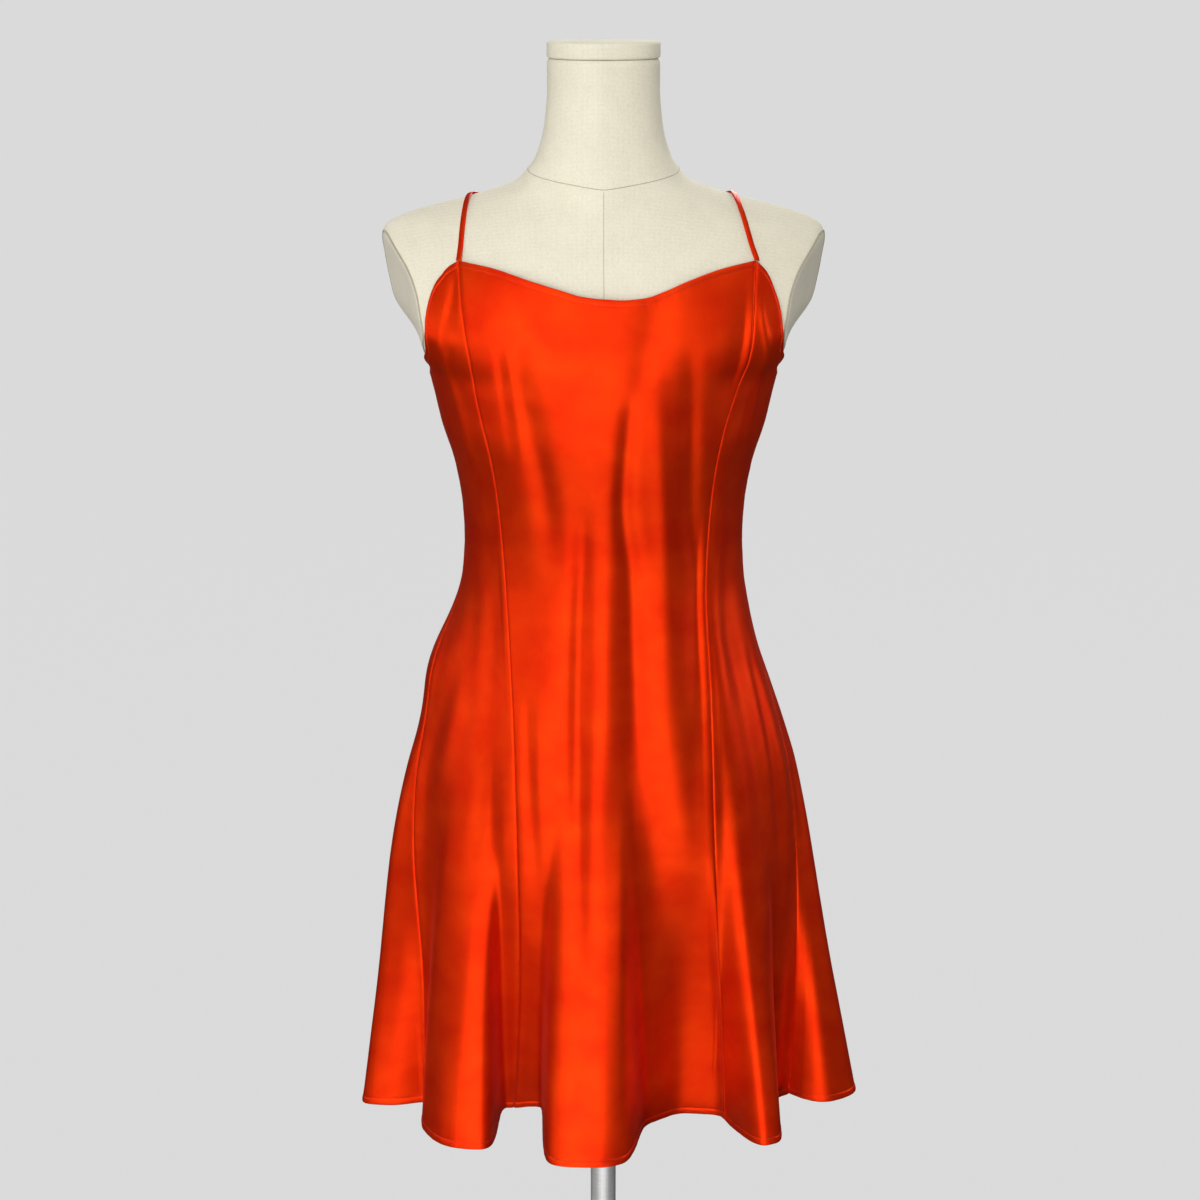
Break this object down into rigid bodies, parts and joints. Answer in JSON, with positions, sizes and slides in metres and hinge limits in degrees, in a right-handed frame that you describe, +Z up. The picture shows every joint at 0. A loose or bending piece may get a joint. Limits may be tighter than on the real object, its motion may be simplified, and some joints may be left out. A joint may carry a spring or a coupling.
{
  "type": "slip dress on a dress form",
  "caption": "Bias-cut satin slip dress with princess seams, a side-front slit and a flared hem, worn by a limbless dress form on a stand.",
  "frame": {"origin": "on the floor, at the centre of the base's underside, under the pole", "axes": "+Z up; the dress's front looks along -Y; +X is the wearer's left"},
  "size_m": [0.4865, 0.3242, 1.337],
  "materials": {
    "satin": "orange-red satin with a soft sheen",
    "form_cloth": "ecru linen stretched over the form",
    "stand": "satin"
  },
  "bodies": {
    "root": {"front_centre": "satin", "front_side_left": "satin", "front_side_right": "satin", "back_left": "satin", "back_right": "satin", "strap_left": "satin", "strap_right": "satin", "form_torso": "form_cloth", "neck_cap": "form_cloth", "stand_pole": "stand", "stand_base": "stand"}
  },
  "joints": []
}
